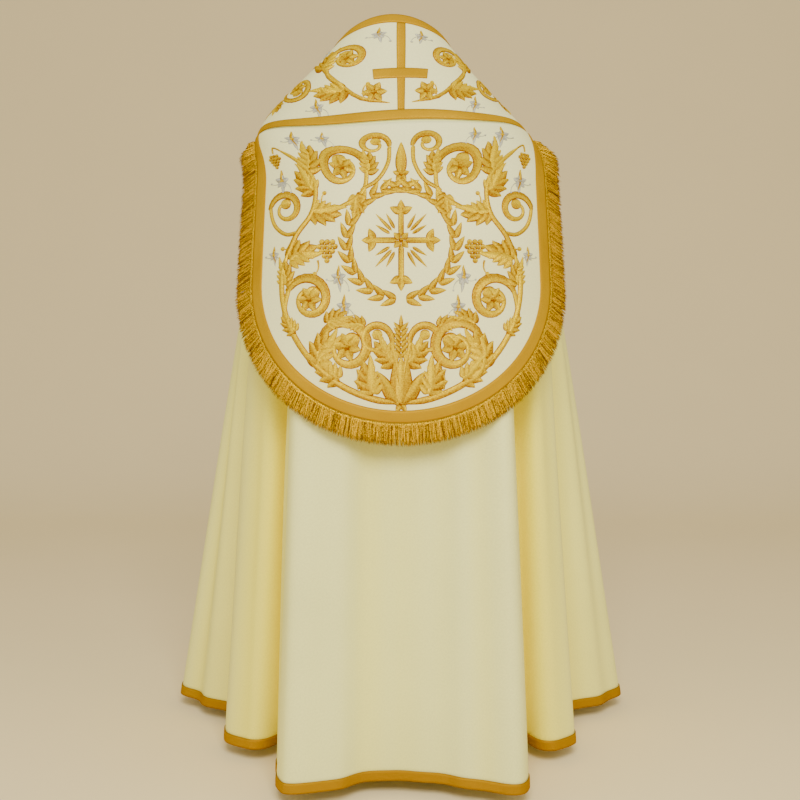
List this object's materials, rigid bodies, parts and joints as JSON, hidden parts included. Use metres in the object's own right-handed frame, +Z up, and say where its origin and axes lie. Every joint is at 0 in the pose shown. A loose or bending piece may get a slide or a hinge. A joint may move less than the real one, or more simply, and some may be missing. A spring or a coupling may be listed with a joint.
{
  "type": "cope vestment",
  "caption": "Half-circle satin cloak worn open at the front, with an embroidered band, a fringed shield-shaped hood at the back and gold edging.",
  "frame": {"origin": "middle of the neck opening, level with the tops of the shoulders, where the wearer's neck and shoulders carry the garment", "axes": "+Z up, +Y the way the wearer faces, so the hood and the back face -Y, +X the wearer's right"},
  "size_m": [0.9826, 0.8495, 1.4529],
  "materials": {
    "cream_satin": "soft satin",
    "ivory_cloth": "fine twill",
    "gold_galloon": "woven metal-thread edging",
    "hem_galloon_cloth": "woven edging, browner gold",
    "bullion_thread": "twisted metal thread"
  },
  "bodies": {
    "root": {"cloak": "cream_satin", "orphrey_band": "ivory_cloth", "neck_galloon": "gold_galloon", "band_galloon": "gold_galloon", "galloon_cross": "gold_galloon", "hem_galloon": "hem_galloon_cloth", "hood_shield": "ivory_cloth", "hood_galloon": "gold_galloon", "hood_fringe": "bullion_thread", "chest_tab": "ivory_cloth"}
  },
  "joints": []
}
